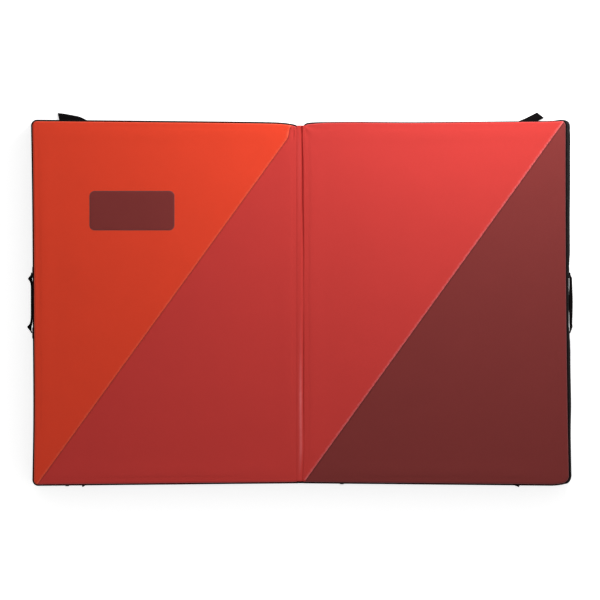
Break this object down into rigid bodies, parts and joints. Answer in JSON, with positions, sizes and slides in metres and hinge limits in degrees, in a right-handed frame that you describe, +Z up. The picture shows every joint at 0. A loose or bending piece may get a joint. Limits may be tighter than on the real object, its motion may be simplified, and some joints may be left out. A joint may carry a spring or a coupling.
{
  "type": "bouldering crash pad",
  "caption": "Folding bouldering crash pad laid open: foam panels in cloth covers joined by a cloth hinge, with carry handles, closing straps and a harness underneath.",
  "frame": {"origin": "on the floor under the middle of the fold, at the centre of the open pad", "axes": "+X across the fold towards the maroon triangle's panel, +Y along the fold towards the side that the picture shows at the top, +Z up out of the landing face"},
  "size_m": [1.6631, 1.1479, 0.1253],
  "materials": {
    "orange_cloth": "woven orange nylon, matt",
    "red_cloth": "woven red nylon, matt",
    "maroon_cloth": "woven maroon nylon, matt",
    "black_cloth": "coated ballistic cloth, satin",
    "black_webbing": "ribbed polyester webbing",
    "grey_foam": "closed-cell foam sheet",
    "pale_foam": "open-cell foam block",
    "steel": "zinc-plated steel, satin",
    "black_plastic": "moulded acetal"
  },
  "bodies": {
    "left_panel": {"left_foam_base": "grey_foam", "left_foam_core": "pale_foam", "left_foam_top": "grey_foam", "left_bottom_cover": "black_cloth", "left_side_wall": "black_cloth", "left_top_piping": "black_webbing", "left_bottom_piping": "black_webbing", "left_top_orange": "orange_cloth", "left_top_red": "red_cloth", "left_zip_tape": "black_webbing", "left_handle_patch_upper": "black_webbing", "left_handle_patch_lower": "black_webbing", "blank_patch": "maroon_cloth", "upper_left_strap_tab": "black_webbing", "lower_left_strap_tab": "black_webbing", "outer_webbing_tab": "black_webbing", "inner_webbing_tab": "black_webbing", "belt_band": "black_webbing", "harness_yoke": "black_webbing"},
    "right_panel": {"right_foam_base": "grey_foam", "right_foam_core": "pale_foam", "right_foam_top": "grey_foam", "right_bottom_cover": "black_cloth", "right_side_wall": "black_cloth", "right_top_piping": "black_webbing", "right_bottom_piping": "black_webbing", "right_top_red": "red_cloth", "right_top_maroon": "maroon_cloth", "right_zip_tape": "black_webbing", "right_handle_patch_upper": "black_webbing", "right_handle_patch_lower": "black_webbing", "upper_right_strap_tab": "black_webbing", "lower_right_strap_tab": "black_webbing"},
    "hinge_web": {"hinge_web": "red_cloth"},
    "left_handle": {"left_handle": "black_webbing"},
    "right_handle": {"right_handle": "black_webbing"},
    "left_zip_slider": {"left_zip_slider": "black_plastic"},
    "right_zip_slider": {"right_zip_slider": "black_plastic"},
    "upper_left_strap": {"upper_left_strap": "black_webbing"},
    "lower_left_strap": {"lower_left_strap": "black_webbing"},
    "upper_right_strap": {"upper_right_strap": "black_webbing"},
    "lower_right_strap": {"lower_right_strap": "black_webbing"},
    "upper_left_hook": {"upper_left_hook": "steel"},
    "lower_left_hook": {"lower_left_hook": "steel"},
    "upper_right_slider": {"upper_right_slider": "black_plastic"},
    "lower_right_slider": {"lower_right_slider": "black_plastic"},
    "outer_adjuster": {"outer_adjuster": "black_plastic"},
    "inner_adjuster": {"inner_adjuster": "black_plastic"},
    "outer_shoulder_webbing": {"outer_shoulder_webbing": "black_webbing"},
    "inner_shoulder_webbing": {"inner_shoulder_webbing": "black_webbing"},
    "outer_shoulder_strap": {"outer_shoulder_strap": "black_cloth"},
    "inner_shoulder_strap": {"inner_shoulder_strap": "black_cloth"},
    "belt_buckle_socket": {"belt_buckle_socket": "black_plastic"},
    "belt_buckle_plug": {"belt_buckle_plug": "black_plastic"},
    "haul_loop": {"haul_loop": "black_webbing"},
    "outer_belt_wing": {"outer_belt_wing": "black_cloth", "outer_belt_webbing": "black_webbing"},
    "inner_belt_wing": {"inner_belt_wing": "black_cloth", "inner_belt_webbing": "black_webbing"}
  },
  "joints": [
    {"name": "fold", "type": "hinge", "parent": "left_panel", "child": "right_panel", "pos_m": [0, 0, 0.1255], "axis": [0, -1, 0], "range_deg": [0, 180]},
    {"name": "web_turn", "type": "hinge", "parent": "left_panel", "child": "hinge_web", "pos_m": [0, 0, 0.1255], "axis": [0, -1, 0], "range_deg": [0, 90]},
    {"name": "left_handle_swing", "type": "hinge", "parent": "left_panel", "child": "left_handle", "pos_m": [-0.82347, 0, 0.06], "axis": [0, 1, 0], "range_deg": [-22, 22]},
    {"name": "right_handle_swing", "type": "hinge", "parent": "right_panel", "child": "right_handle", "pos_m": [0.82347, 0, 0.06], "axis": [0, 1, 0], "range_deg": [-22, 22]},
    {"name": "left_zip", "type": "slide", "parent": "left_panel", "child": "left_zip_slider", "axis": [1, 0.0097, 0], "range_m": [0, 0.585]},
    {"name": "right_zip", "type": "slide", "parent": "right_panel", "child": "right_zip_slider", "axis": [1, -0.0097, 0], "range_m": [0, 0.585]},
    {"name": "upper_left_strap_swing", "type": "hinge", "parent": "left_panel", "child": "upper_left_strap", "pos_m": [-0.56, 0.519, 0.0028], "axis": [-0.2588, -0.9659, 0], "range_deg": [0, 100]},
    {"name": "upper_left_hook_slide", "type": "slide", "parent": "upper_left_strap", "child": "upper_left_hook", "axis": [-0.9659, 0.2588, 0], "range_m": [-0.025, 0.025]},
    {"name": "lower_left_strap_swing", "type": "hinge", "parent": "left_panel", "child": "lower_left_strap", "pos_m": [-0.565, -0.483, 0.0028], "axis": [0.5446, -0.8387, 0], "range_deg": [0, 100]},
    {"name": "lower_left_hook_slide", "type": "slide", "parent": "lower_left_strap", "child": "lower_left_hook", "axis": [-0.8387, -0.5446, 0], "range_m": [-0.025, 0.025]},
    {"name": "upper_right_strap_swing", "type": "hinge", "parent": "right_panel", "child": "upper_right_strap", "pos_m": [0.562, 0.486, 0.0028], "axis": [-0.454, 0.891, 0], "range_deg": [0, 100]},
    {"name": "upper_right_slider_slide", "type": "slide", "parent": "upper_right_strap", "child": "upper_right_slider", "axis": [0.891, 0.454, 0], "range_m": [-0.025, 0.025]},
    {"name": "lower_right_strap_swing", "type": "hinge", "parent": "right_panel", "child": "lower_right_strap", "pos_m": [0.522, -0.498, 0.0028], "axis": [0.342, 0.9397, 0], "range_deg": [0, 100]},
    {"name": "lower_right_slider_slide", "type": "slide", "parent": "lower_right_strap", "child": "lower_right_slider", "axis": [0.9397, -0.342, 0], "range_m": [-0.025, 0.025]},
    {"name": "outer_shoulder_swing", "type": "hinge", "parent": "left_panel", "child": "outer_shoulder_strap", "pos_m": [-0.478, 0.315, 0.0112], "axis": [1, 0, 0], "range_deg": [0, 100]},
    {"name": "outer_adjuster_tilt", "type": "hinge", "parent": "outer_shoulder_strap", "child": "outer_adjuster", "pos_m": [-0.524, -0.0206, 0.0112], "axis": [1, 0, 0], "range_deg": [0, 60]},
    {"name": "outer_webbing_swing", "type": "hinge", "parent": "left_panel", "child": "outer_shoulder_webbing", "pos_m": [-0.524, -0.205, 0.0112], "axis": [-1, 0, 0], "range_deg": [0, 100]},
    {"name": "outer_wing_swing", "type": "hinge", "parent": "left_panel", "child": "outer_belt_wing", "pos_m": [-0.45, -0.285, 0.0112], "axis": [0, -1, 0], "range_deg": [0, 80]},
    {"name": "inner_shoulder_swing", "type": "hinge", "parent": "left_panel", "child": "inner_shoulder_strap", "pos_m": [-0.35, 0.315, 0.0112], "axis": [1, 0, 0], "range_deg": [0, 100]},
    {"name": "inner_adjuster_tilt", "type": "hinge", "parent": "inner_shoulder_strap", "child": "inner_adjuster", "pos_m": [-0.304, -0.0206, 0.0112], "axis": [1, 0, 0], "range_deg": [0, 60]},
    {"name": "inner_webbing_swing", "type": "hinge", "parent": "left_panel", "child": "inner_shoulder_webbing", "pos_m": [-0.304, -0.205, 0.0112], "axis": [-1, 0, 0], "range_deg": [0, 100]},
    {"name": "inner_wing_swing", "type": "hinge", "parent": "left_panel", "child": "inner_belt_wing", "pos_m": [-0.378, -0.285, 0.0112], "axis": [0, 1, 0], "range_deg": [0, 80]},
    {"name": "socket_tilt", "type": "hinge", "parent": "outer_belt_wing", "child": "belt_buckle_socket", "pos_m": [-0.6959, -0.285, 0.0112], "axis": [0, -1, 0], "range_deg": [0, 30]},
    {"name": "plug_tilt", "type": "hinge", "parent": "inner_belt_wing", "child": "belt_buckle_plug", "pos_m": [-0.1321, -0.285, 0.0112], "axis": [0, 1, 0], "range_deg": [0, 30]},
    {"name": "haul_loop_swing", "type": "hinge", "parent": "left_panel", "child": "haul_loop", "pos_m": [-0.414, 0.355, 0.0112], "axis": [-1, 0, 0], "range_deg": [0, 90]}
  ],
  "couplings": [
    {"joint": "web_turn", "follows": "fold", "ratio": 0.5}
  ]
}
